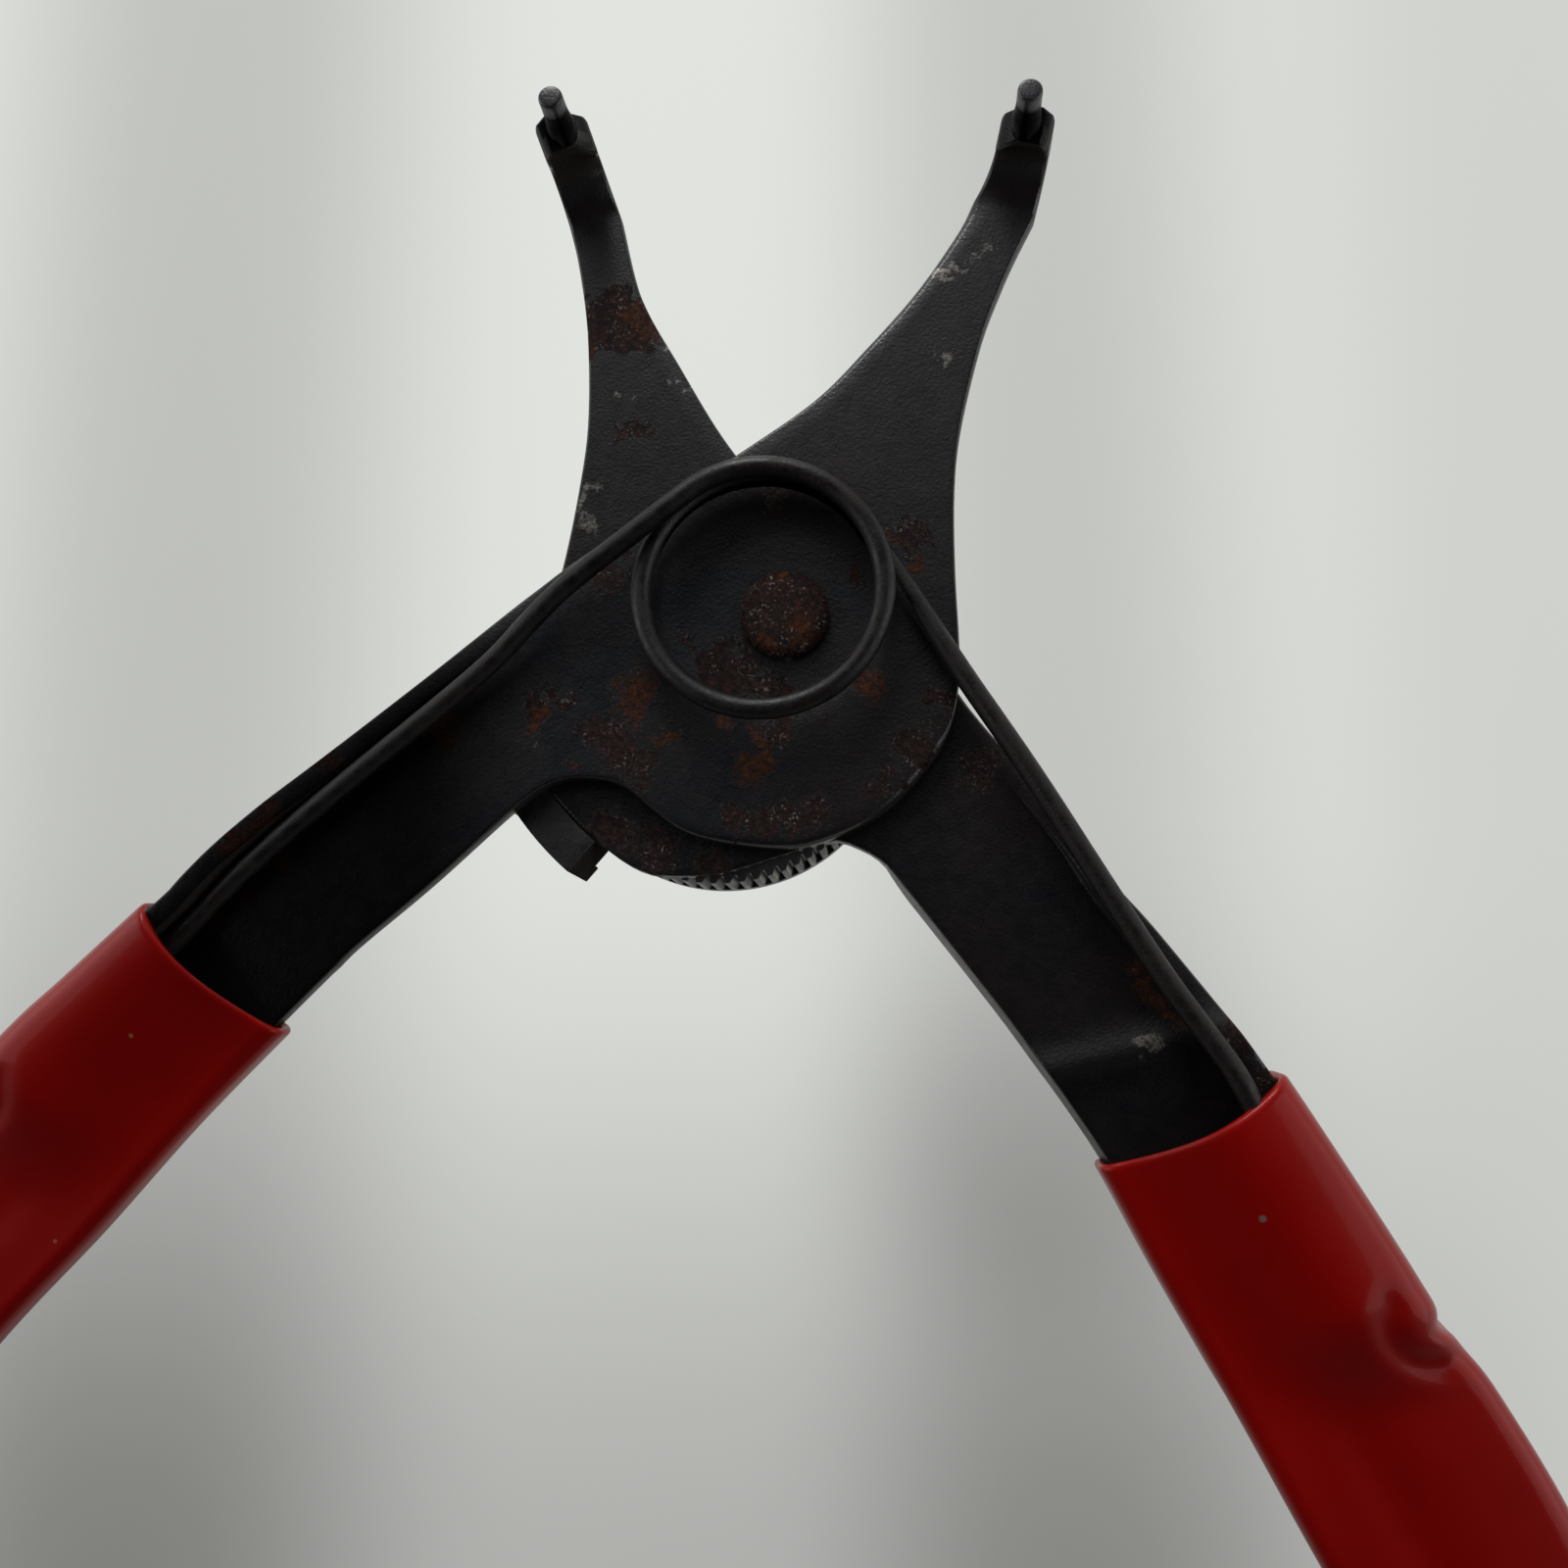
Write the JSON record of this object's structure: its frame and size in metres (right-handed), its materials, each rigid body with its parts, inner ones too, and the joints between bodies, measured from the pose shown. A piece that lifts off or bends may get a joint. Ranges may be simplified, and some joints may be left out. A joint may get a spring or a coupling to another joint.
{
  "type": "retaining-ring pliers",
  "caption": "Ratcheting retaining-ring pliers with bent pin tips, a wire return spring and dipped red vinyl grips, jaws open.",
  "frame": {"origin": "on the pivot axis, at the flat face of the rivet's tail on the back of the tool", "axes": "+Z along the rivet towards its domed head and the spring, +Y forwards between the jaws, +X towards the right jaw, seen from the front"},
  "size_m": [0.2227, 0.1947, 0.0284],
  "materials": {
    "arm_steel": "blackened stamped steel, satin, with rust patches and worn edges",
    "rivet_steel": "blackened steel under a thin brown rust",
    "pin_steel": "dark hardened steel with bright worn ends",
    "spring_steel": "dark oiled spring wire, semi-gloss",
    "ratchet_steel": "blackened steel worn to bare grey on the tooth tips",
    "grip_vinyl": "glossy dipped red vinyl with soft waves"
  },
  "bodies": {
    "front_arm_body": {"front_arm": "arm_steel", "left_grip": "grip_vinyl", "right_tip_pin": "pin_steel", "pawl_stud": "rivet_steel", "pawl_spring": "spring_steel", "return_spring": "spring_steel"},
    "back_arm_body": {"back_arm": "arm_steel", "right_grip": "grip_vinyl", "left_tip_pin": "pin_steel", "ratchet_sector": "ratchet_steel", "pivot_rivet": "rivet_steel"},
    "pawl_body": {"ratchet_pawl": "ratchet_steel"}
  },
  "joints": [
    {"name": "jaw_pivot", "type": "hinge", "parent": "front_arm_body", "child": "back_arm_body", "pos_m": [0, 0, 0], "axis": [0, 0, -1], "range_deg": [0, 42], "stiffness_Nm_per_rad": 1.2, "springref_deg": -34.38, "deforming": ["return_spring"]},
    {"name": "pawl_pivot", "type": "hinge", "parent": "front_arm_body", "child": "pawl_body", "pos_m": [-0.03634, -0.01111, 0], "axis": [0, 0, -1], "range_deg": [0, 10], "stiffness_Nm_per_rad": 0.05, "springref_deg": -17.19, "deforming": ["pawl_spring"]}
  ]
}
